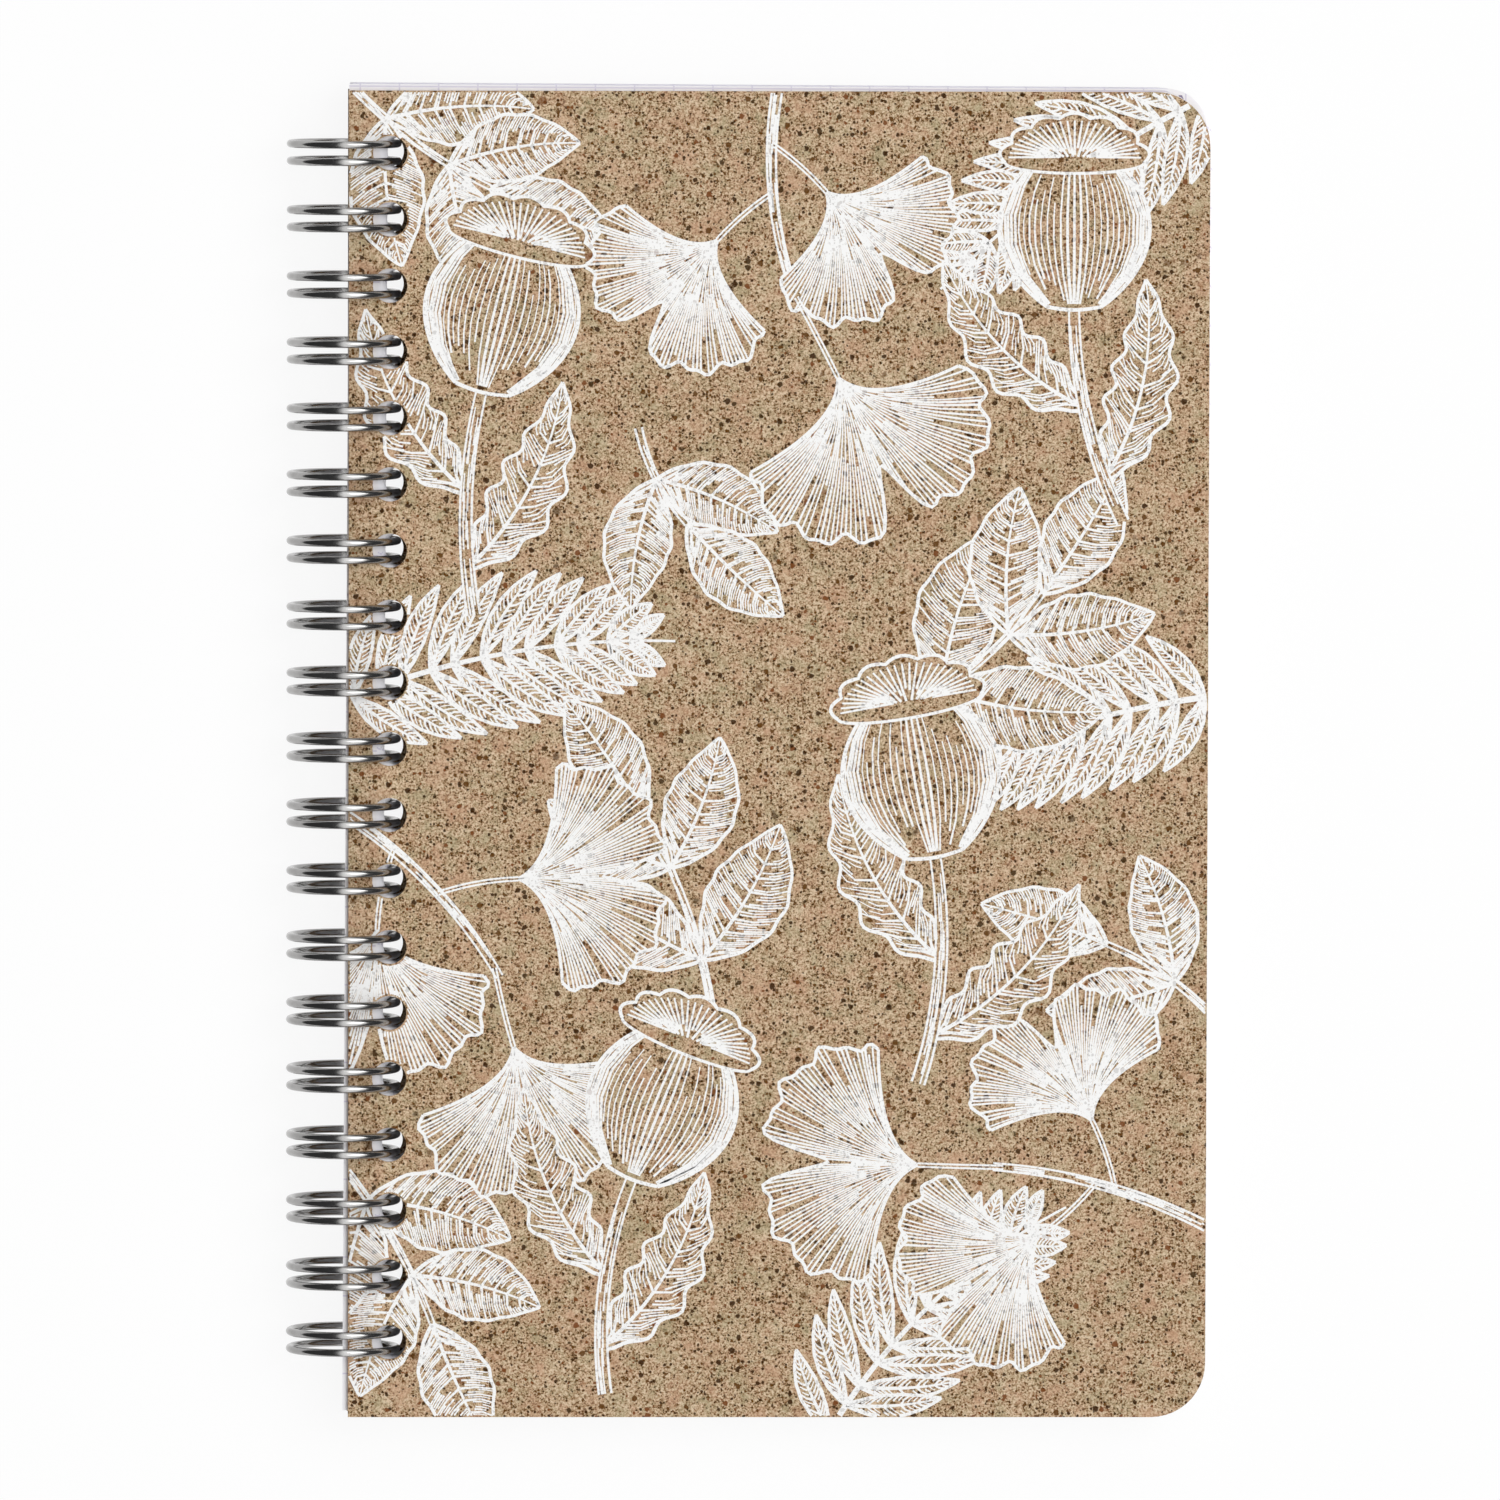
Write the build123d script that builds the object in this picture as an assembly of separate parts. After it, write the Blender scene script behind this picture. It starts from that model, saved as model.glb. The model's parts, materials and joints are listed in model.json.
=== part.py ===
# Address book: kraft covers, stepped A to Z index leaves, twin-loop wire binding.
# Lengths are in millimetres. +X runs from the wire to the fore-edge, +Y to the head, +Z is up.
import math
import os

from build123d import *

os.makedirs("parts", exist_ok=True)

# Book format
cover_width = 110.0
cover_height = 170.0
corner_radius = 7.0
front_board = 0.6
back_board = 0.9
back_spine_trim = 0.3
cover_drop = 0.84

# Leaves and the stepped index
page_trim = 0.5
paper_thickness = 0.12
leaf_air = 0.02
leaf_stagger = 0.03
stagger_turn = 137.5
leaves_per_section = 2
section_letters = list("ABCDEFGHIJKLMNOPQRSTUVW") + ["XYZ"]
tab_strip = 7.0
tab_corner = 1.6
fillet_room = 0.2
page_skew = 0.25

# Twin-loop wire, three loops to the inch
loop_pitch = 25.4 / 3
end_margin = 8.0
loop_inside = 12.7
wire_diameter = 1.0
strand_spacing = 2.2
link_bend = 1.1
tip_gap = 2.0
end_stub = 0.8
closure_angle = -60.0

# Punching and how the stack hangs on the loops
hole_play = 1.2
rim_clearance = 0.2
cover_margin = 5.25
page_margin = 6.14
stack_sag = 0.35
cover_slide = 0.05
leaf_fan = 0.3

# Crease pressed into the back cover so that it bends by the wire
crease_offset = 14.0
crease_width = 1.2
crease_depth = 0.25
crease_overrun = 1.0

# Places that follow from the sizes above
page_width = cover_width - page_trim
page_height = cover_height
tab_height = page_height / len(section_letters)
leaf_count = leaves_per_section * len(section_letters) + 2
leaf_pitch = paper_thickness + leaf_air
stack_height = front_board + leaf_count * leaf_pitch + leaf_air + back_board
stack_top = stack_height / 2 - stack_sag
stack_bottom = stack_top - stack_height
loop_radius = loop_inside / 2 + wire_diameter / 2
loop_count = math.floor((cover_height - 2 * end_margin) / loop_pitch) + 1
hole_diameter = strand_spacing + wire_diameter + hole_play
loop_places = [(number - (loop_count - 1) / 2) * loop_pitch for number in range(loop_count)]
strand_room = hole_diameter / 2 - wire_diameter / 2 - rim_clearance
skew_shift = loop_places[-1] * math.sin(math.radians(page_skew))
leaf_slide = math.sqrt(strand_room**2 - (strand_spacing / 2) ** 2) - skew_shift


def loop_reach(height):
    """Distance of the loop's centre line from the loop axis, sideways, at a height in the stack."""
    return math.sqrt(loop_radius**2 - height**2)


def punch(outline):
    """The outline with one round hole for each loop, on the line x = 0."""
    holes = [Pos(0, place) * Circle(hole_diameter / 2) for place in loop_places]
    return outline - holes


def cover_outline(spine_trim):
    """Cover blank with rounded fore-edge corners; x = 0 is the line of holes."""
    left = spine_trim - cover_margin
    right = cover_width - cover_margin
    low = -cover_height / 2 - cover_drop
    high = cover_height / 2 - cover_drop
    corners = [(left, low), (right, low), (right, high), (left, high)]
    radii = [0, corner_radius, corner_radius, 0]
    edge = FilletPolyline(*corners, radius=radii, close=True)
    return make_face(edge)


def page_outline(step):
    """Leaf outline; step is the height cut off the foot of the index strip at the fore-edge."""
    left = -page_margin
    right = page_width - page_margin
    low = -page_height / 2
    high = page_height / 2
    if step < tab_corner:
        corners = [(left, low), (right, low), (right, high), (left, high)]
        radii = [0, corner_radius, corner_radius, 0]
    else:
        inner = right - tab_strip
        ledge = low + step
        head_radius = min(corner_radius, high - ledge - tab_corner - fillet_room, tab_strip - fillet_room)
        corners = [(left, low), (inner, low), (inner, ledge), (right, ledge), (right, high), (left, high)]
        radii = [0, tab_corner, 0, tab_corner, head_radius, 0]
    edge = FilletPolyline(*corners, radius=radii, close=True)
    return make_face(edge)


def page(step, number):
    """One leaf, slid on the loops towards the fore-edge, furthest at the back; number counts from there."""
    leaf = extrude(punch(page_outline(step)), paper_thickness)
    bottom = stack_bottom + back_board + leaf_air + number * leaf_pitch
    slide = leaf_slide - leaf_fan * number / (leaf_count - 1)
    turn = math.radians(number * stagger_turn)
    across = loop_reach(bottom + paper_thickness / 2) + slide + leaf_stagger * math.cos(turn)
    along = leaf_stagger * math.sin(turn)
    return Pos(across, along, bottom) * Rot(0, 0, -page_skew) * leaf


def loop_point(angle, along):
    """Point of the loop's centre line at an angle in degrees about the axis, at a place along it."""
    turn = math.radians(angle)
    return Vector(loop_radius * math.cos(turn), along, loop_radius * math.sin(turn))


def loop_course(angle):
    """Direction in which the centre line runs at that angle, towards larger angles."""
    turn = math.radians(angle)
    return Vector(-math.sin(turn), 0, math.cos(turn))


# Twin-loop wire: one length bent into hairpins, curled round so each tip meets its own root
along_axis = Vector(0, 1, 0)
tip_angle = closure_angle + 360 - math.degrees((tip_gap + strand_spacing / 2) / loop_radius)
middle_angle = (closure_angle + tip_angle) / 2
root_course = loop_course(closure_angle)
tip_course = loop_course(tip_angle)
half = strand_spacing / 2


def strand_arc(first, last, along):
    """Part of a strand between two angles."""
    middle = (first + last) / 2
    return ThreePointArc(loop_point(first, along), loop_point(middle, along), loop_point(last, along))


def root_bend(along, side):
    """Quarter bend from the link line up into a strand; side is the way the link leaves."""
    strand_start = loop_point(closure_angle, along)
    centre = strand_start + along_axis * (side * link_bend)
    quarter = math.sqrt(0.5) * link_bend
    crown = centre - along_axis * (side * quarter) - root_course * quarter
    foot = centre - root_course * link_bend
    return foot, crown, strand_start


course = []
link_end = None
for place in loop_places:
    low_strand = place - half
    high_strand = place + half
    foot, crown, start = root_bend(low_strand, -1)
    if link_end is None:
        course.append(Line(foot - along_axis * end_stub, foot))
    else:
        course.append(Line(link_end, foot))
    course.append(ThreePointArc(foot, crown, start))
    course.append(strand_arc(closure_angle, middle_angle, low_strand))
    course.append(strand_arc(middle_angle, tip_angle, low_strand))
    low_end = loop_point(tip_angle, low_strand)
    high_end = loop_point(tip_angle, high_strand)
    tip_crown = loop_point(tip_angle, place) + tip_course * half
    course.append(ThreePointArc(low_end, tip_crown, high_end))
    course.append(strand_arc(tip_angle, middle_angle, high_strand))
    course.append(strand_arc(middle_angle, closure_angle, high_strand))
    foot, crown, start = root_bend(high_strand, 1)
    course.append(ThreePointArc(start, crown, foot))
    link_end = foot
course.append(Line(link_end, link_end + along_axis * end_stub))
wire_path = Wire(course)
wire_section = Plane(wire_path @ 0, z_dir=wire_path % 0) * Circle(wire_diameter / 2)
binding_wire = sweep(wire_section, path=wire_path)

# Covers
front_bottom = stack_top - front_board
front_reach = loop_reach(front_bottom + front_board / 2) + cover_slide
front_cover = Pos(front_reach, 0, front_bottom) * extrude(punch(cover_outline(0)), front_board)

back_reach = loop_reach(stack_bottom + back_board / 2)
back_blank = extrude(punch(cover_outline(back_spine_trim)), back_board)
crease_bar = Box(crease_width, cover_height + 2 * crease_overrun, crease_depth * 2)
crease = Pos(crease_offset - cover_margin, -cover_drop, 0) * crease_bar
back_cover = Pos(back_reach, 0, stack_bottom) * (back_blank - crease)

# Leaves from the back upwards: back flyleaf, sections from the last letter to the first, front flyleaf
pieces = {"back_cover": [back_cover]}
pieces["back_flyleaf"] = [page(0, 0)]
for order, letters in enumerate(reversed(section_letters)):
    step = order * tab_height
    first = 1 + order * leaves_per_section
    pieces["section_" + letters] = [page(step, first + leaf) for leaf in range(leaves_per_section)]
pieces["front_flyleaf"] = [page(0, leaf_count - 1)]
pieces["front_cover"] = [front_cover]

# The book lies on its wire and on the back cover's fore-edge, so the stack leans a little
wire_bottom = -(loop_radius + wire_diameter / 2)
fore_edge = back_reach + cover_width - cover_margin
lean_slope = math.degrees(math.atan2(stack_bottom, fore_edge))
lean_drop = math.degrees(math.asin(-wire_bottom / math.hypot(stack_bottom, fore_edge)))
lean = lean_drop + lean_slope
for name in pieces:
    pieces[name] = [Rot(0, lean, 0) * solid for solid in pieces[name]]
pieces["binding_wire"] = [binding_wire]

# Move everything so that the origin is the bottom centre of the whole
whole = Compound([solid for solids in pieces.values() for solid in solids]).bounding_box()
shift = Vector(-(whole.min.X + whole.max.X) / 2, -(whole.min.Y + whole.max.Y) / 2, -whole.min.Z)
for name in pieces:
    placed = [Pos(*shift) * solid for solid in pieces[name]]
    export_step(Compound(placed), "parts/" + name + ".step")

# Least gap between two stretches of the wire: a tip against its own root
low_root = course[1]
tip_turn = course[4]
next_root = course[8]
least_gap = min(low_root.distance_to(tip_turn), next_root.distance_to(tip_turn)) - wire_diameter
print("wire least self-gap", round(least_gap, 3))
print("loop axis at", round(shift.X, 4), round(shift.Y, 4), round(shift.Z, 4))
print("lean of the stack, degrees", round(lean, 4))
print("size", round(whole.size.X, 2), round(whole.size.Y, 2), round(whole.size.Z, 2))
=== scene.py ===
import cmath
import json
import math
import random

import bmesh
import bpy
from mathutils import Matrix, Vector


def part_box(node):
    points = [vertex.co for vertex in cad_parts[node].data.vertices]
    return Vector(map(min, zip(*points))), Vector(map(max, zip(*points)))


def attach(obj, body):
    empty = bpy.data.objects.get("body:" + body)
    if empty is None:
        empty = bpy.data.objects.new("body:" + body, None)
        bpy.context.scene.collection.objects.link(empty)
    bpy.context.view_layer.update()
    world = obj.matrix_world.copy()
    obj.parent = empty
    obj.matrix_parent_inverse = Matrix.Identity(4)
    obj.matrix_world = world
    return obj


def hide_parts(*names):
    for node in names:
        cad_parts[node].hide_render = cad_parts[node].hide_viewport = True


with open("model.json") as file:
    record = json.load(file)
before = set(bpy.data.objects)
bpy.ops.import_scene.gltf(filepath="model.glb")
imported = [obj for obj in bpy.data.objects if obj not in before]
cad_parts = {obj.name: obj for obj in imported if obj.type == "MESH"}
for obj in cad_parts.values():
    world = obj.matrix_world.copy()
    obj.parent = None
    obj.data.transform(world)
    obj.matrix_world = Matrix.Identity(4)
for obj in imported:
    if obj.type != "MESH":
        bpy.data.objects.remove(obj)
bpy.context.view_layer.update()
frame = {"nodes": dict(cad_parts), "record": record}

nodes = frame["nodes"]
record = frame["record"]
scene = bpy.context.scene

# Back cover: grey-brown kraft board, pressed from recycled fibre so that dark grains of bark and
# straw show all through it. It is die-cut with rounded fore-edge corners, punched along the spine
# edge for the wire, and creased beside the holes so that it folds there.
grain_colours = [
    (0.26, (0.036, 0.016, 0.005, 1)),
    (0.35, (0.145, 0.066, 0.018, 1)),
    (0.42, (0.400, 0.256, 0.138, 1)),
    (0.53, (0.530, 0.385, 0.246, 1)),
    (0.66, (0.740, 0.584, 0.410, 1)),
]
moss_tan = (0.405, 0.362, 0.212, 1)
rose_tan = (0.585, 0.348, 0.222, 1)
rust_brown = (0.330, 0.155, 0.066, 1)
speck_colours = [
    (0.0, (0.040, 0.014, 0.002, 1)),
    (0.35, (0.118, 0.046, 0.008, 1)),
    (0.72, (0.054, 0.026, 0.007, 1)),
    (0.88, (0.190, 0.062, 0.018, 1)),
]
speck_layers = [
    {"scale": 2.3, "share": 0.62, "size": 0.60, "soft": 0.14, "strength": 0.94},
    {"scale": 1.2, "share": 0.38, "size": 0.52, "soft": 0.10, "strength": 0.93},
    {"scale": 0.5, "share": 0.14, "size": 0.36, "soft": 0.12, "strength": 0.70},
]
shake_scale = 1.7
shake_reach = 0.55
speck_depth = 0.35
# Scales are counts in a millimetre; shifts move the tone along the grain's colours
patch_scale = 0.22
patch_shift = 0.06
mottle_scale = 0.9
mottle_shift = 0.05
fibre_scale = 4.8
fibre_shift = 0.17
grain_scale = 3.0
dark_grain = (0.42, 0.31)
hue_scale = 0.32
moss_hue = (0.49, 0.32)
moss_share = 0.54
rose_hue = (0.51, 0.68)
rose_share = 0.66
rust_scale = 1.1
rust_spots = (0.60, 0.74)
rust_share = 0.55
board_roughness = (0.72, 0.9)
board_gloss = 0.05
wide_noise = (0.2, 0.8)
mid_noise = (0.3, 0.7)
core_noise = (0.25, 0.75)
millimetres = 1000


def maths(tree, operation, first, second=None):
    """A maths node whose inputs are sockets or plain numbers; returns its output socket."""
    node = tree.nodes.new("ShaderNodeMath")
    node.operation = operation
    for socket, value in zip(node.inputs, (first, second)):
        if value is None:
            continue
        if isinstance(value, (int, float)):
            socket.default_value = value
        else:
            tree.links.new(value, socket)
    return node.outputs[0]


def millimetre_places(tree, turn=0.0):
    """Places on the piece in millimetres, so that texture scales below are counts in a millimetre."""
    places = tree.nodes.new("ShaderNodeTexCoord")
    mapping = tree.nodes.new("ShaderNodeMapping")
    mapping.inputs["Scale"].default_value = (millimetres, millimetres, millimetres)
    mapping.inputs["Rotation"].default_value = (0, 0, turn)
    tree.links.new(places.outputs["Object"], mapping.inputs["Vector"])
    return mapping.outputs["Vector"]


def noise(tree, places, scale, detail=3.0, roughness=0.55):
    """A noise node at those places."""
    node = tree.nodes.new("ShaderNodeTexNoise")
    node.inputs["Scale"].default_value = scale
    node.inputs["Detail"].default_value = detail
    node.inputs["Roughness"].default_value = roughness
    tree.links.new(places, node.inputs["Vector"])
    return node


def cloud(tree, places, scale, detail=3.0, roughness=0.55):
    """Soft noise between 0 and 1."""
    return noise(tree, places, scale, detail, roughness).outputs["Fac"]


def between(tree, value, low, high, start=0.0, end=1.0):
    """Value brought from low..high to start..end, and held there."""
    node = tree.nodes.new("ShaderNodeMapRange")
    node.inputs["From Min"].default_value = low
    node.inputs["From Max"].default_value = high
    node.inputs["To Min"].default_value = start
    node.inputs["To Max"].default_value = end
    tree.links.new(value, node.inputs["Value"])
    return node.outputs["Result"]


def blend_colours(tree, share, first, second):
    """Mix two colours, each a socket or a plain colour, by a share socket or number."""
    node = tree.nodes.new("ShaderNodeMix")
    node.data_type = "RGBA"
    for socket, value in ((node.inputs[0], share), (node.inputs[6], first), (node.inputs[7], second)):
        if isinstance(value, (tuple, float, int)):
            socket.default_value = value
        else:
            tree.links.new(value, socket)
    return node.outputs[2]


def colour_steps(tree, value, steps, change="CONSTANT"):
    """A ramp of colours, in steps or with a smooth change between them."""
    node = tree.nodes.new("ShaderNodeValToRGB")
    node.color_ramp.interpolation = change
    while len(node.color_ramp.elements) < len(steps):
        node.color_ramp.elements.new(0.5)
    for element, (position, colour) in zip(node.color_ramp.elements, steps):
        element.position = position
        element.color = colour
    tree.links.new(value, node.inputs["Fac"])
    return node.outputs["Color"]


def shaken_places(tree, places, scale, amount):
    """Places pushed about by noise, so that round specks come out ragged."""
    push = tree.nodes.new("ShaderNodeVectorMath")
    push.operation = "MULTIPLY_ADD"
    tree.links.new(noise(tree, places, scale).outputs["Color"], push.inputs[0])
    push.inputs[1].default_value = (amount, amount, amount)
    tree.links.new(places, push.inputs[2])
    return push.outputs[0]


def specks(tree, places, layer):
    """Specks scattered one to a cell: a mask, and a random number for each speck's colour."""
    cells = tree.nodes.new("ShaderNodeTexVoronoi")
    cells.inputs["Scale"].default_value = layer["scale"]
    tree.links.new(places, cells.inputs["Vector"])
    parts = tree.nodes.new("ShaderNodeSeparateColor")
    tree.links.new(cells.outputs["Color"], parts.inputs["Color"])
    rank = between(tree, parts.outputs["Red"], 1 - layer["share"], 1.0, 0.0, layer["size"])
    gap = maths(tree, "SUBTRACT", rank, cells.outputs["Distance"])
    mask = between(tree, gap, 0.0, layer["soft"], 0.0, layer["strength"])
    return mask, parts.outputs["Green"]


def new_material(name):
    """An empty node material with its tree and surface shader."""
    material = bpy.data.materials.new(name)
    material.use_nodes = True
    tree = material.node_tree
    return material, tree, tree.nodes["Principled BSDF"]


def kraft_colour(tree):
    """Colour of speckled kraft board, with the mask of its dark specks and its grain."""
    places = millimetre_places(tree)
    patches = cloud(tree, places, patch_scale, detail=4.0, roughness=0.6)
    patches = between(tree, patches, *wide_noise, -patch_shift, patch_shift)
    mottle = cloud(tree, places, mottle_scale, detail=3.0, roughness=0.6)
    mottle = between(tree, mottle, *wide_noise, -mottle_shift, mottle_shift)
    fibres = cloud(tree, places, fibre_scale, detail=1.0, roughness=0.5)
    fibres = between(tree, fibres, *core_noise, -fibre_shift, fibre_shift)
    grain = maths(tree, "ADD", cloud(tree, places, grain_scale, detail=2.0, roughness=0.65), fibres)
    tone = maths(tree, "ADD", grain, maths(tree, "ADD", patches, mottle))
    colour = colour_steps(tree, tone, grain_colours, "LINEAR")
    hue = cloud(tree, places, hue_scale, detail=5.0, roughness=0.7)
    colour = blend_colours(tree, between(tree, hue, *moss_hue, 0.0, moss_share), colour, moss_tan)
    colour = blend_colours(tree, between(tree, hue, *rose_hue, 0.0, rose_share), colour, rose_tan)
    rust = cloud(tree, places, rust_scale, detail=3.0, roughness=0.6)
    colour = blend_colours(tree, between(tree, rust, *rust_spots, 0.0, rust_share), colour, rust_brown)
    total = between(tree, tone, *dark_grain)
    for layer in speck_layers:
        ragged = shaken_places(tree, places, layer["scale"] * shake_scale, shake_reach / layer["scale"])
        mask, number = specks(tree, ragged, layer)
        colour = blend_colours(tree, mask, colour, colour_steps(tree, number, speck_colours))
        total = maths(tree, "MAXIMUM", total, mask)
    return colour, total, grain


def add_bump(tree, shader, height, strength, distance):
    """Fine relief from a height socket."""
    bump = tree.nodes.new("ShaderNodeBump")
    bump.inputs["Strength"].default_value = strength
    bump.inputs["Distance"].default_value = distance
    tree.links.new(height, bump.inputs["Height"])
    tree.links.new(bump.outputs["Normal"], shader.inputs["Normal"])


def kraft_board(name):
    """Matte speckled kraft board."""
    material, tree, shader = new_material(name)
    colour, mask, grain = kraft_colour(tree)
    tree.links.new(colour, shader.inputs["Base Color"])
    tree.links.new(between(tree, grain, *mid_noise, *board_roughness), shader.inputs["Roughness"])
    shader.inputs["Specular IOR Level"].default_value = board_gloss
    height = maths(tree, "SUBTRACT", grain, maths(tree, "MULTIPLY", mask, speck_depth))
    add_bump(tree, shader, height, strength=0.22, distance=0.00006)
    return material


def give_material(obj, material):
    """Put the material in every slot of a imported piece."""
    if not obj.data.materials:
        obj.data.materials.append(material)
    for slot_number in range(len(obj.data.materials)):
        obj.data.materials[slot_number] = material


give_material(nodes["back_cover"], kraft_board("kraft_back"))

# Leaves: uncoated white writing paper with a pale violet grid of 5 mm squares printed to the very
# edge, so that its lines show as ticks on the cut edges of the block. Two leaves make a section,
# stepped at the fore-edge for the index, with one plain leaf before and one after them all.
paper_white = (0.930, 0.925, 0.948, 1)
paper_shade = (0.880, 0.872, 0.905, 1)
grid_violet = (0.560, 0.520, 0.690, 1)
grid_square = 5.0
grid_line = 0.13
grid_strength = 0.55
grid_slip = 0.3
tooth_scale = 2.5
drift_scale = 0.05
paper_roughness = (0.78, 0.92)
paper_gloss = 0.3
page_skew = math.radians(0.25)


def ruled_paper(name):
    """White paper with the printed grid."""
    material, tree, shader = new_material(name)
    places = millimetre_places(tree, turn=page_skew)
    parts = tree.nodes.new("ShaderNodeSeparateXYZ")
    tree.links.new(places, parts.inputs[0])
    info = tree.nodes.new("ShaderNodeObjectInfo")
    slip = between(tree, info.outputs["Random"], 0.0, 1.0, -grid_slip, grid_slip)
    lines = None
    for axis in ("X", "Y"):
        along = maths(tree, "ADD", parts.outputs[axis], slip)
        off_line = maths(tree, "PINGPONG", along, grid_square / 2)
        line = between(tree, off_line, grid_line / 2, grid_line, grid_strength, 0.0)
        lines = line if lines is None else maths(tree, "MAXIMUM", lines, line)
    tooth = cloud(tree, places, tooth_scale, detail=4.0, roughness=0.7)
    drift = cloud(tree, places, drift_scale, detail=2.0)
    tone = maths(tree, "ADD", maths(tree, "MULTIPLY", tooth, 0.5), maths(tree, "MULTIPLY", drift, 0.5))
    colour = blend_colours(tree, between(tree, tone, *mid_noise), paper_shade, paper_white)
    colour = blend_colours(tree, lines, colour, grid_violet)
    tree.links.new(colour, shader.inputs["Base Color"])
    tree.links.new(between(tree, tooth, *mid_noise, *paper_roughness), shader.inputs["Roughness"])
    shader.inputs["Specular IOR Level"].default_value = paper_gloss
    add_bump(tree, shader, tooth, strength=0.10, distance=0.00004)
    return material


paper = ruled_paper("ruled_paper")
section_names = [node["node"] for node in record["subparts"] if node["node"].startswith("section_")]
for name in section_names + ["front_flyleaf", "back_flyleaf"]:
    give_material(nodes[name], paper)

# Index letters: printed in grey-violet ink on the tab of each section, one letter to a tab, with
# the last three letters together on the lowest one. They lie on the section's upper leaf.
letter_height = 0.0042
capital_share = 0.72
joined_share = 1.5
letter_steps = 6
letter_ink = (0.150, 0.130, 0.210, 1)
ink_fading = 1.9
ink_roughness = (0.6, 0.8)
ink_film = 0.000006
tab_strip = 0.007
cover_low, cover_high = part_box("front_cover")
cover_width = 110.0
board = 0.0006
lean = math.asin((cover_high[2] - cover_low[2] - board) / (cover_width / millimetres))
across = Vector((math.cos(lean), 0, -math.sin(lean)))
upward = Vector((math.sin(lean), 0, math.cos(lean)))
along_axis = Vector((0, 1, 0))


def letter_material(name):
    """Printing ink with a little unevenness, as it sinks into the paper."""
    material, tree, shader = new_material(name)
    places = millimetre_places(tree)
    uneven = cloud(tree, places, 3.0, detail=4.0, roughness=0.7)
    faded = tuple(value * ink_fading for value in letter_ink[:3]) + (1,)
    colour = blend_colours(tree, between(tree, uneven, 0.35, 0.7), letter_ink, faded)
    tree.links.new(colour, shader.inputs["Base Color"])
    tree.links.new(between(tree, uneven, *mid_noise, *ink_roughness), shader.inputs["Roughness"])
    return material


def letter_mesh(name, letters):
    """The letters as a thin film of ink, centred on the origin."""
    curve = bpy.data.curves.new(name, "FONT")
    curve.body = letters
    curve.align_x = "CENTER"
    curve.align_y = "CENTER"
    curve.size = letter_height / (capital_share if len(letters) == 1 else joined_share)
    curve.extrude = ink_film / 2
    curve.resolution_u = letter_steps
    holder = bpy.data.objects.new(name, curve)
    mesh = bpy.data.meshes.new_from_object(holder)
    bpy.data.objects.remove(holder)
    bpy.data.curves.remove(curve)
    return mesh


index_ink = letter_material("index_ink")
head_line = max(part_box(name)[1][1] for name in section_names)
foot_line = min(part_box(name)[0][1] for name in section_names)
letters_in_order = sorted(section_names)
tab_height = (head_line - foot_line) / len(letters_in_order)
for order, name in enumerate(letters_in_order):
    letters = name.split("_")[1]
    corners = [corner.co for corner in nodes[name].data.vertices]
    surface = max(corner.dot(upward) for corner in corners)
    fore_edge = max(corner.dot(across) for corner in corners)
    middle = across * (fore_edge - tab_strip / 2) + upward * (surface + ink_film)
    middle.y = head_line - (order + 0.5) * tab_height
    mark_name = "index_letter_" + letters
    mark = bpy.data.objects.new(mark_name, letter_mesh(mark_name, letters))
    scene.collection.objects.link(mark)
    stand = Matrix((across, along_axis, upward)).transposed().to_4x4()
    mark.data.transform(Matrix.Translation(middle) @ stand)
    mark.data.materials.append(index_ink)
    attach(mark, name)

# Front cover: the same kraft board, a little thinner. Its outside is printed in opaque white with
# line drawings of poppy heads, ginkgo twigs, leafy sprigs and ferns that run off all four edges.
cover_height = 170.0
corner_radius = 7.0
hole_across = 5.25
hole_rise = 0.84
hole_radius = 2.2
hole_pitch = 25.4 / 3
holes_each_way = 9
edge_room = 0.2
stem_steps = 24
sight_halvings = 5
hand = random.Random(24)
strokes = []
screens = []


# Places on the cover are complex numbers in millimetres: across from the spine edge, and along from
# the middle towards the head. Widths of lines are in millimetres too.
def on_board(point):
    """Whether the cover has board under the point."""
    across_in = cover_width - point.real
    along_in = cover_height / 2 - abs(point.imag)
    if min(point.real, across_in, along_in) < edge_room:
        return False
    if across_in < corner_radius and along_in < corner_radius:
        return math.hypot(corner_radius - across_in, corner_radius - along_in) < corner_radius - edge_room
    nearest = round((point.imag - hole_rise) / hole_pitch)
    if abs(nearest) > holes_each_way:
        return True
    hole = complex(hole_across, nearest * hole_pitch + hole_rise)
    return abs(point - hole) > hole_radius + edge_room


def inside(point, outline):
    """Whether a point lies within a closed outline."""
    crossings = 0
    for one, two in zip(outline, outline[1:] + outline[:1]):
        if (one.imag > point.imag) != (two.imag > point.imag):
            share = (point.imag - one.imag) / (two.imag - one.imag)
            if one.real + share * (two.real - one.real) > point.real:
                crossings += 1
    return crossings % 2 == 1


def shows(point):
    """Whether ink at the point lands on the board and no motif drawn earlier covers it."""
    if not on_board(point):
        return False
    for left, right, low, high, outline in screens:
        if left < point.real < right and low < point.imag < high and inside(point, outline):
            return False
    return True


def cover_up(outline):
    """Let a motif hide what is drawn after it."""
    sideways = [point.real for point in outline]
    endways = [point.imag for point in outline]
    screens.append((min(sideways), max(sideways), min(endways), max(endways), outline))


def last_seen(seen, unseen):
    """The place on a short line where it goes out of sight."""
    for halving in range(sight_halvings):
        middle = (seen + unseen) / 2
        if shows(middle):
            seen = middle
        else:
            unseen = middle
    return seen


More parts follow.
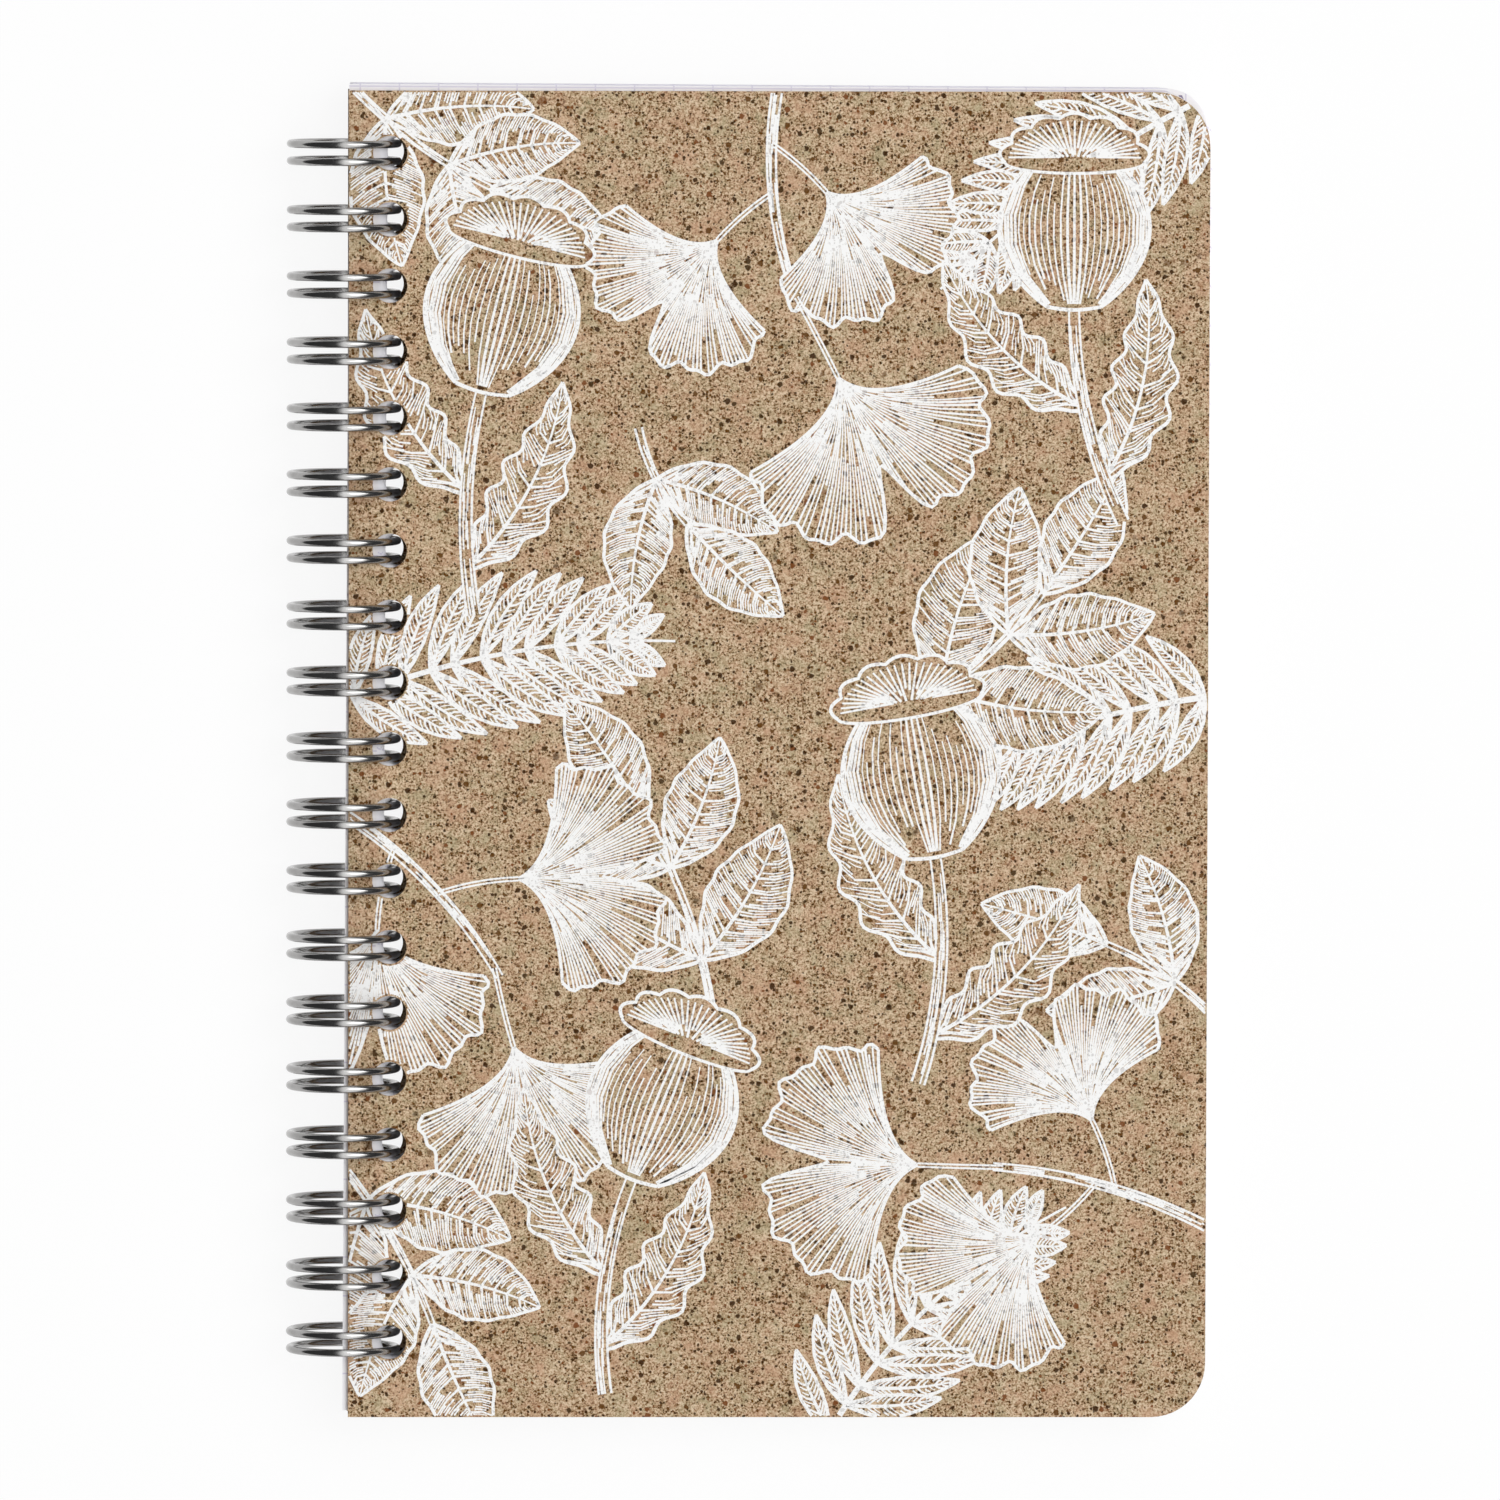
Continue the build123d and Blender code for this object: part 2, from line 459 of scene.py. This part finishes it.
def draw(points, start, end, step=1):
    """A line of ink from one width to another, kept where it shows; every step-th point is used."""
    run = []
    count = len(points) - 1
    seen_before = False
    for number, point in enumerate(points):
        width = start + (end - start) * number / count
        seen = shows(point)
        if seen and not seen_before and number > 0:
            run.append((last_seen(point, points[number - 1]), width))
        if seen and (not run or number % step == 0 or number == count):
            run.append((point, width))
        if seen_before and not seen:
            run.append((last_seen(points[number - 1], point), width))
            strokes.append(run)
            run = []
        seen_before = seen
    if len(run) > 1:
        strokes.append(run)


def bow(base, heading, length, bend, steps=stem_steps):
    """Points and headings along a line that bends evenly, like a stalk or a midrib."""
    points = [base]
    headings = [heading]
    for number in range(steps):
        turn = heading + bend * (number + 0.5) / steps
        points.append(points[-1] + cmath.rect(length / steps, turn))
        headings.append(heading + bend * (number + 1) / steps)
    return points, headings


def beside(point, heading, distance):
    """The place that far to the left of a heading."""
    return point + cmath.rect(distance, heading + math.pi / 2)


def blade(base, heading, length, width, bend, veins=9, hatch=4, fullness=0.95, wave=0.03):
    """A leaf: its edge, midrib, side veins, and fine hatching between the veins."""
    least_steps = 12
    steps_to_a_millimetre = 1.6
    steps = max(least_steps, round(length * steps_to_a_millimetre))
    points, headings = bow(base, heading, length, bend, steps)
    taper = 0.9
    ripples = 34
    first_vein = 0.03
    veined = 0.9
    vein_rise = 0.16
    vein_bend = 1.4
    vein_steps = 8
    short_share = 0.35

    def spot(share, side, reach):
        share = min(max(share, 0), 1)
        number = min(int(share * steps), steps - 1)
        part = share * steps - number
        on_rib = points[number] * (1 - part) + points[number + 1] * part
        turn = headings[number] * (1 - part) + headings[number + 1] * part
        swell = max(math.sin(math.pi * share**fullness), 0) ** taper
        ripple = 1 + wave * math.sin(share * ripples + length)
        return beside(on_rib, turn, side * reach * width / 2 * swell * ripple)

    edges = {side: [spot(k / steps, side, 1) for k in range(steps + 1)] for side in (1, -1)}
    for side in (1, -1):
        draw(edges[side], start=0.50, end=0.38)
    draw(points, start=0.55, end=0.18, step=2)
    rows = veins * (hatch + 1)
    for side in (1, -1):
        for row in range(rows):
            root = first_vein + veined * row / rows
            rise = vein_rise * (1 - root / 2)
            near = hand.uniform(0.02, 0.30)
            far = hand.uniform(0.62, 0.98)
            broad = hand.uniform(0.17, 0.29)
            if row % (hatch + 1) == 0:
                near, far, broad = 0.0, 0.97, 0.34
            elif hand.random() < short_share:
                near, far = hand.uniform(0.42, 0.6), 0.98
            reaches = [near + (far - near) * k / vein_steps for k in range(vein_steps + 1)]
            line = [spot(root + rise * reach**vein_bend, side, reach) for reach in reaches]
            draw(line, start=broad, end=broad * 0.55, step=4)
    cover_up(edges[1] + edges[-1][::-1])


def stalk(base, heading, length, bend, start=1.3, end=0.9):
    """A woody stalk: two edges and strokes of bark between them."""
    bark_spacing = 1.1
    bark_steps = 4
    bark_reach = 0.3
    points, headings = bow(base, heading, length, bend)
    widths = [start + (end - start) * k / stem_steps for k in range(stem_steps + 1)]
    sides = {}
    for side in (1, -1):
        sides[side] = [beside(*spot, side * width / 2) for *spot, width in zip(points, headings, widths)]
        draw(sides[side], start=0.32, end=0.26)
    for number in range(int(length / bark_spacing)):
        first = hand.randrange(0, stem_steps - bark_steps)
        offset = hand.uniform(-bark_reach, bark_reach) * start
        bark = [beside(points[k], headings[k], offset) for k in range(first, first + bark_steps)]
        draw(bark, start=0.24, end=0.14)
    cover_up(sides[1] + sides[-1][::-1])


def fan_leaf(base, heading, radius, spread=math.radians(138), notch=0.42):
    """A ginkgo leaf: a fan with a wavy edge, a notch in its middle, and veins that spread from its foot."""
    rim_steps = 72
    veins = 76
    vein_steps = 20
    notch_width = 0.045
    shoulder_drop = 0.24
    knee_reach = 0.28
    knee_spread = 0.35

    def rim(share):
        angle = heading + spread * (share - 0.5)
        dip = notch * math.exp(-((share - 0.5) / notch_width) ** 2)
        ripple = 0.028 * math.sin(share * 46 + radius) + 0.018 * math.sin(share * 91)
        shoulder = 1 - shoulder_drop * abs(2 * share - 1) ** 4
        return base + cmath.rect(radius * (shoulder - dip + ripple), angle)

    def vein(share):
        tip = rim(share)
        knee = base + cmath.rect(radius * knee_reach, heading + spread * (share - 0.5) * knee_spread)
        parts = [k / vein_steps for k in range(vein_steps + 1)]
        return [(1 - p) ** 2 * base + 2 * p * (1 - p) * knee + p**2 * tip for p in parts]

    edge = [rim(k / rim_steps) for k in range(rim_steps + 1)]
    draw(edge, start=0.45, end=0.45)
    draw(vein(0), start=0.45, end=0.40)
    draw(vein(1), start=0.45, end=0.40)
    for number in range(1, veins):
        first = (0, hand.randrange(9, 14), hand.randrange(5, 9), hand.randrange(9, 14))[number % 4]
        last = hand.randrange(15, 21) if number % 4 == 2 else vein_steps
        broad = hand.uniform(0.17, 0.28)
        draw(vein(number / veins)[first:last + 1], start=broad * 0.8, end=broad * 1.15, step=3)
    cover_up(vein(0) + edge + vein(1)[::-1])


def seed_head(base, heading, width, height):
    """A poppy's seed head: a ribbed urn under a scalloped cap, shaded with fine lines down its ribs."""
    ahead = cmath.rect(1, heading)
    leftward = ahead * 1j
    cap_half = width * 0.46
    cap_rise = width * 0.30
    cap_base = base + ahead * height
    cap_steps = 56
    lip_steps = 20
    rays = 27
    ray_steps = 6
    scallops = 7
    ribs = 6
    lines = 34
    line_steps = 14
    wall_steps = 30

    def oval(turn, half, rise):
        return cap_base + leftward * half * math.cos(turn) + ahead * rise * math.sin(turn)

    cap = []
    for k in range(cap_steps + 1):
        turn = math.pi * k / cap_steps
        lobe = 1 + 0.10 * abs(math.sin(turn * scallops))
        cap.append(oval(turn, cap_half * lobe, cap_rise * lobe))
    lip = [oval(math.pi * (1 + k / lip_steps), cap_half, width * 0.07) for k in range(lip_steps + 1)]
    draw(cap, start=0.45, end=0.45)
    draw(lip, start=0.38, end=0.38)
    for k in range(rays):
        turn = math.pi * (0.04 + 0.92 * k / (rays - 1))
        tip = oval(turn, cap_half * 0.96, width * 0.28)
        root = oval(turn, cap_half * 0.22, 0) + ahead * width * 0.04
        first = hand.uniform(0.0, 0.35) if k % 3 else 0.0
        shares = [first + (1 - first) * step / ray_steps for step in range(ray_steps + 1)]
        draw([root + (tip - root) * share for share in shares], start=0.34, end=0.24, step=2)
    cover_up(cap + lip)

    def wall(share, offset):
        swell = math.sin(math.pi * (0.06 + 0.80 * share)) ** 0.62
        return base + ahead * height * share + leftward * width / 2 * swell * offset

    sides = {side: [wall(k / wall_steps, side) for k in range(wall_steps + 1)] for side in (1, -1)}
    foot = [wall(0, 1 - k / 4) - ahead * 0.4 * math.sin(math.pi * k / 8) for k in range(9)]
    for line in (sides[1], sides[-1], foot):
        draw(line, start=0.50, end=0.45)
    for number in range(lines + 1):
        angle = math.pi * (number / lines - 0.5)
        ridge = math.cos(angle * ribs)
        first = 0.02 if ridge > 0.3 else hand.uniform(0.04, 0.30)
        last = 0.98 if ridge > 0.3 else hand.uniform(0.66, 0.96)
        broad = 0.40 if ridge > 0.6 else hand.uniform(0.16, 0.30)
        shares = [first + (last - first) * k / line_steps for k in range(line_steps + 1)]
        draw([wall(share, math.sin(angle)) for share in shares], start=broad, end=broad * 0.7, step=3)
    cover_up(sides[1] + sides[-1][::-1] + foot)


def poppy(base, heading, size, bend):
    """A seed head on its stalk with two wavy leaves."""
    length = size * 0.62
    points, headings = bow(base, heading, length, bend)
    seed_head(points[-1], headings[-1], size * 0.42, size * 0.40)
    stalk(base, heading, length, bend, start=size * 0.035, end=size * 0.028)
    for place, side in ((5, -1), (13, 1)):
        turn = headings[place] + side * math.radians(52)
        blade(points[place], turn, size * 0.58, size * 0.17, -side * 0.7, veins=8, fullness=0.85, wave=0.16)


def ginkgo(base, heading, size, bend, fans):
    """A ginkgo twig; each fan leaf has its place along the twig, its turn in degrees and its size."""
    points, headings = bow(base, heading, size, bend)
    for share, turn, radius in fans:
        place = int(stem_steps * share)
        way = headings[place] + math.radians(turn)
        stem, ways = bow(points[place], way, radius * 0.55, math.radians(turn) * -0.25)
        fan_leaf(stem[-1], ways[-1], radius)
        for offset in (0.22, -0.22):
            draw([beside(*spot, offset) for spot in zip(stem, ways)], start=0.26, end=0.24, step=2)
    stalk(base, heading, size, bend)


def sprig(base, heading, length, bend, pairs, leaf_length, leaf_width):
    """A sprig with leaves in pairs and one at its tip."""
    points, headings = bow(base, heading, length, bend)
    blade(points[-1], headings[-1], leaf_length, leaf_width, 0.15)
    for number in range(pairs):
        place = int(stem_steps * (1 - 0.80 * (number + 0.6) / pairs))
        grown = 1 + 0.12 * number
        for side in (1, -1):
            turn = headings[place] + side * math.radians(hand.uniform(46, 62))
            blade(points[place], turn, leaf_length * grown, leaf_width * grown, -side * 0.4)
    stalk(base, heading, length, bend, start=0.9, end=0.6)


def fern(base, heading, length, width, bend):
    """A fern frond: narrow leaflets in pairs that shorten towards the tip."""
    pairs = 12
    rib_steps = 48
    points, headings = bow(base, heading, length, bend, rib_steps)
    draw(points, start=0.85, end=0.3)
    for number in range(pairs):
        share = 0.10 + 0.86 * number / pairs
        place = int(rib_steps * share)
        reach = width / 2 * math.sin(math.pi * (0.22 + 0.76 * share)) ** 0.8
        broad = min(length / pairs * 0.72, reach * 0.36)
        for side in (1, -1):
            turn = headings[place] + side * math.radians(66 - 22 * share)
            blade(points[place], turn, reach, broad, -side * 0.35, veins=5, hatch=2)


def degrees(value):
    """An angle given in degrees, as the functions above take it."""
    return math.radians(value)


# The layout, from the motifs in front to those behind them: each one's foot, heading, size and bend
poppy(complex(16, 18), degrees(100), 47, degrees(-24))
poppy(complex(73, -42), degrees(72), 48, degrees(28))
poppy(complex(99, 30), degrees(116), 46, degrees(-26))
poppy(complex(33, -82), degrees(98), 46, degrees(-30))
ginkgo(complex(55, 87), degrees(-102), 30, degrees(34), [(0.98, 8, 21), (0.50, -62, 17), (0.30, 58, 17)])
ginkgo(complex(-3, -6), degrees(-30), 32, degrees(-30), [(0.98, -20, 19), (0.60, 66, 19), (0.36, -70, 19)])
ginkgo(complex(113, -62), degrees(150), 32, degrees(26), [(0.98, 4, 20), (0.50, -62, 17), (0.62, 66, 18)])
sprig(complex(68, 4), degrees(24), 27, degrees(30), 2, 19, 9.5)
sprig(complex(-1, 87), degrees(-48), 24, degrees(22), 2, 17, 8.5)
sprig(complex(47, -36), degrees(96), 30, degrees(24), 2, 18, 9)
sprig(complex(-3, -50), degrees(-48), 27, degrees(-22), 2, 17, 9)
sprig(complex(113, -36), degrees(128), 20, degrees(30), 1, 17, 8.5)
sprig(complex(37, 42), degrees(-78), 14, degrees(30), 1, 17, 8.5)
fern(complex(-3, 6), degrees(24), 46, 27, degrees(-26))
fern(complex(113, 86), degrees(204), 46, 27, degrees(22))
fern(complex(113, 8), degrees(186), 42, 26, degrees(20))
fern(complex(60, -90), degrees(62), 46, 27, degrees(-34))

ink_low = -0.006
ink_high = (0.012, 0.024)
least_step = 0.02
cover_middle = (cover_low[1] + cover_high[1]) / 2
spine_edge = Vector((cover_low[0] + board * math.sin(lean), cover_middle, cover_high[2]))
ink_white = (0.975, 0.972, 0.962, 1)
bare_specks = (0.45, 0.85)
bare_share = 0.28
ink_gloss = 0.3


def on_cover(point, height):
    """Where a place on the cover is in the frame, at a height above its face."""
    sideways = across * point.real + along_axis * point.imag
    return spine_edge + (sideways + upward * height) / millimetres


def print_mesh(name):
    """Every stroke as a thin closed ribbon; each has its own height, so that crossings stay clean."""
    corners = []
    faces = []
    for run in strokes:
        spots = [run[0]]
        for spot in run[1:]:
            if abs(spot[0] - spots[-1][0]) > least_step:
                spots.append(spot)
        if len(spots) < 2:
            continue
        top = hand.uniform(*ink_high)
        base = len(corners)
        for number, (point, width) in enumerate(spots):
            course = spots[min(number + 1, len(spots) - 1)][0] - spots[max(number - 1, 0)][0]
            side = course / abs(course) * 1j * width / 2
            for edge, height in ((side, top), (-side, top), (-side, ink_low), (side, ink_low)):
                corners.append(on_cover(point + edge, height))
        faces.append((base + 3, base + 2, base + 1, base))
        for first in range(base, base + 4 * (len(spots) - 1), 4):
            for corner in range(4):
                following = (corner + 1) % 4
                faces.append((first + corner, first + following, first + 4 + following, first + 4 + corner))
        last = base + 4 * (len(spots) - 1)
        faces.append((last, last + 1, last + 2, last + 3))
    mesh = bpy.data.meshes.new(name)
    mesh.from_pydata(corners, [], faces)
    return mesh


def white_ink(name):
    """Opaque white ink that lets the darkest grains of the board show through."""
    material, tree, shader = new_material(name)
    board_colour, mask, grain = kraft_colour(tree)
    bare = between(tree, mask, *bare_specks, 0.0, bare_share)
    tree.links.new(blend_colours(tree, bare, ink_white, board_colour), shader.inputs["Base Color"])
    tree.links.new(between(tree, grain, *mid_noise, *ink_roughness), shader.inputs["Roughness"])
    shader.inputs["Specular IOR Level"].default_value = ink_gloss
    add_bump(tree, shader, grain, strength=0.12, distance=0.00004)
    return material


give_material(nodes["front_cover"], kraft_board("kraft_front"))
cover_print = bpy.data.objects.new("cover_print", print_mesh("cover_print"))
scene.collection.objects.link(cover_print)
cover_print.data.materials.append(white_ink("white_ink"))
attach(cover_print, "front_cover")

# Binding wire: one length of nickel-plated steel wire, bent into hairpins and curled through the
# holes into twin loops. Each hairpin's tip closes against its own root, under the back cover.
wire_radius = 0.0005
loop_radius = 0.00685
loop_pitch = 0.0254 / 3
loop_count = 19
strand_half = 0.0011
link_bend = 0.0011
tip_gap = 0.0020
end_stub = 0.0008
closure_angle = math.radians(-60)
strand_steps = 84
bend_steps = 8
tip_steps = 14
wire_sides = 20
end_width = 0.7
end_length = 0.3
wire_dull = (0.32, 0.315, 0.31, 1)
wire_clear = (0.43, 0.425, 0.42, 1)
mark_scale = 6.0
stain_scale = 0.35
wire_roughness = (0.12, 0.22)
axis_place = Vector(record["behaviour"]["joints"][0]["pos_m"])


def loop_point(angle, along):
    """Point of a loop's centre line about the binding axis."""
    return axis_place + Vector((loop_radius * math.cos(angle), along, loop_radius * math.sin(angle)))


def loop_course(angle):
    """Direction of the centre line towards larger angles."""
    return Vector((-math.sin(angle), 0, math.cos(angle)))


def turn_points(centre, first, second, start, end, steps):
    """Points of an arc about centre in the plane of two equal radii."""
    points = []
    for step in range(steps + 1):
        angle = start + (end - start) * step / steps
        points.append(centre + first * math.cos(angle) + second * math.sin(angle))
    return points


def wire_course():
    """The whole centre line, loop after loop."""
    tip_angle = closure_angle + 2 * math.pi - (tip_gap + strand_half) / loop_radius
    root_course = loop_course(closure_angle)
    tip_course = loop_course(tip_angle)
    quarter = math.pi / 2
    swing = (tip_angle - closure_angle) / strand_steps
    side = along_axis * link_bend
    back = -root_course * link_bend
    tip_side = -along_axis * strand_half
    tip_ahead = tip_course * strand_half
    course = []
    for number in range(loop_count):
        place = (number - (loop_count - 1) / 2) * loop_pitch
        low = place - strand_half
        high = place + strand_half
        centre = loop_point(closure_angle, low) - side
        if number == 0:
            course.append(centre + back - along_axis * end_stub)
        course += turn_points(centre, side, back, quarter, 0, bend_steps)
        course += [loop_point(closure_angle + swing * k, low) for k in range(1, strand_steps)]
        course += turn_points(loop_point(tip_angle, place), tip_side, tip_ahead, 0, math.pi, tip_steps)
        course += [loop_point(tip_angle - swing * k, high) for k in range(1, strand_steps)]
        centre = loop_point(closure_angle, high) + side
        course += turn_points(centre, -side, back, 0, quarter, bend_steps)
        if number == loop_count - 1:
            course.append(centre + back + along_axis * end_stub)
    return course


def tube_mesh(name, course, radius, sides):
    """A round tube along the points, its ends closed and slightly rounded off."""
    shell = bmesh.new()
    rings = []
    first = (course[1] - course[0]).normalized()
    last = (course[-1] - course[-2]).normalized()
    stations = [(course[0], end_width), (course[0] + first * radius * end_length, 1.0)]
    stations += [(point, 1.0) for point in course[1:-1]]
    stations += [(course[-1] - last * radius * end_length, 1.0), (course[-1], end_width)]
    normal = first.orthogonal().normalized()
    for index, (point, share) in enumerate(stations):
        before = stations[max(index - 1, 0)][0]
        after = stations[min(index + 1, len(stations) - 1)][0]
        tangent = (after - before).normalized()
        normal = (normal - tangent * normal.dot(tangent)).normalized()
        other = tangent.cross(normal)
        ring = []
        for side in range(sides):
            angle = 2 * math.pi * side / sides
            spoke = normal * math.cos(angle) + other * math.sin(angle)
            ring.append(shell.verts.new(point + spoke * radius * share))
        rings.append(ring)
    for one, two in zip(rings, rings[1:]):
        for side in range(sides):
            following = (side + 1) % sides
            shell.faces.new((one[side], one[following], two[following], two[side]))
    shell.faces.new(list(reversed(rings[0])))
    shell.faces.new(rings[-1])
    bmesh.ops.recalc_face_normals(shell, faces=shell.faces)
    mesh = bpy.data.meshes.new(name)
    shell.to_mesh(mesh)
    shell.free()
    for polygon in mesh.polygons:
        polygon.use_smooth = True
    return mesh


def bright_wire(name):
    """Nickel-plated wire with faint drawing marks."""
    material, tree, shader = new_material(name)
    places = millimetre_places(tree)
    marks = cloud(tree, places, mark_scale, detail=4.0, roughness=0.7)
    stains = cloud(tree, places, stain_scale, detail=3.0)
    colour = blend_colours(tree, between(tree, stains, *mid_noise), wire_dull, wire_clear)
    tree.links.new(colour, shader.inputs["Base Color"])
    shader.inputs["Metallic"].default_value = 1.0
    tree.links.new(between(tree, marks, *mid_noise, *wire_roughness), shader.inputs["Roughness"])
    add_bump(tree, shader, marks, strength=0.05, distance=0.00002)
    return material


wire_mesh = tube_mesh("twin_loop_wire", wire_course(), wire_radius, wire_sides)
wire = bpy.data.objects.new("twin_loop_wire", wire_mesh)
scene.collection.objects.link(wire)
wire.data.materials.append(bright_wire("bright_wire"))
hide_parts("binding_wire")
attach(wire, "binding_wire")

# Studio: a plain white table top whose shadow is paled, under a long band of white cloth that runs
# overhead from head to foot, with dark walls on both sides for the wire to mirror, and one soft box
# above the book.
scene.view_settings.view_transform = "Standard"
table_half = 4.0
table_colour = (0.97, 0.97, 0.97, 1)
table_roughness = 0.9
table_gloss = 0.1
shadow_paling = 0.9
band_left = (-0.22, 0.02)
band_right = (0.80, 0.60)
wall_grey = (0.04, 0.04, 0.041, 1)
cloth_white = (1.0, 1.0, 1.0, 1)
sky_strength = 1.60
key_place = Vector((0.70, 0.35, 1.35))
key_width = 0.8
key_length = 1.0
key_power = 8

table_mesh = bpy.data.meshes.new("table_top")
table_corners = [(-1, -1), (1, -1), (1, 1), (-1, 1)]
table_mesh.from_pydata([(x * table_half, y * table_half, 0) for x, y in table_corners], [], [(0, 1, 2, 3)])
table_top = bpy.data.objects.new("table_top", table_mesh)
scene.collection.objects.link(table_top)
table_white, table_tree, table_shader = new_material("table_white")
table_shader.inputs["Base Color"].default_value = table_colour
table_shader.inputs["Roughness"].default_value = table_roughness
table_shader.inputs["Specular IOR Level"].default_value = table_gloss
rays = table_tree.nodes.new("ShaderNodeLightPath")
seen = maths(table_tree, "MAXIMUM", rays.outputs["Is Camera Ray"], rays.outputs["Is Glossy Ray"])
seen = maths(table_tree, "MAXIMUM", seen, rays.outputs["Is Transmission Ray"])
glow = table_tree.nodes.new("ShaderNodeEmission")
paling = table_tree.nodes.new("ShaderNodeMixShader")
table_tree.links.new(maths(table_tree, "MULTIPLY", seen, shadow_paling), paling.inputs[0])
table_tree.links.new(table_shader.outputs[0], paling.inputs[1])
table_tree.links.new(glow.outputs[0], paling.inputs[2])
table_tree.links.new(paling.outputs[0], table_tree.nodes["Material Output"].inputs["Surface"])
table_mesh.materials.append(table_white)

world = bpy.data.worlds.new("studio_sky")
world.use_nodes = True
scene.world = world
sky = world.node_tree
backdrop = sky.nodes["Background"]
sky_places = sky.nodes.new("ShaderNodeTexCoord")
sky_parts = sky.nodes.new("ShaderNodeSeparateXYZ")
sky.links.new(sky_places.outputs["Generated"], sky_parts.inputs[0])
squares = [maths(sky, "MULTIPLY", sky_parts.outputs[axis], sky_parts.outputs[axis]) for axis in ("X", "Z")]
reach = maths(sky, "POWER", maths(sky, "ADD", *squares), 0.5)
tilt = maths(sky, "DIVIDE", sky_parts.outputs["X"], reach)
cloth = maths(sky, "MULTIPLY", between(sky, tilt, *band_left), between(sky, tilt, *band_right))
sky.links.new(blend_colours(sky, cloth, wall_grey, cloth_white), backdrop.inputs["Color"])
backdrop.inputs["Strength"].default_value = sky_strength

soft_box = bpy.data.lights.new("key_box", "AREA")
soft_box.shape = "RECTANGLE"
soft_box.size = key_width
soft_box.size_y = key_length
soft_box.energy = key_power
soft_box_stand = bpy.data.objects.new("key_box", soft_box)
scene.collection.objects.link(soft_box_stand)
soft_box_stand.location = key_place
soft_box_stand.rotation_euler = (-key_place).to_track_quat("-Z", "Y").to_euler()

# Camera: high above the book with a long lens, so that the picture is almost flat. It leans a little
# towards the head of the book, where the cut edges of the leaves come into view.
camera_lens = 394.0
film_width = 36.0
sight_limit = 20
camera_distance = 2.1
camera_lean = math.radians(3.7)
camera_roll = math.radians(0.15)
book_middle = Vector((0.0002, 0.00035, 0.0105))
camera = bpy.data.cameras.new("camera")
camera.lens = camera_lens
camera.sensor_width = film_width
camera.clip_end = sight_limit
viewer = bpy.data.objects.new("camera", camera)
scene.collection.objects.link(viewer)
viewer.location = book_middle + camera_distance * Vector((0, math.sin(camera_lean), math.cos(camera_lean)))
turned = Matrix.Rotation(-camera_lean, 3, "X") @ Matrix.Rotation(camera_roll, 3, "Z")
viewer.rotation_euler = turned.to_euler()
scene.camera = viewer
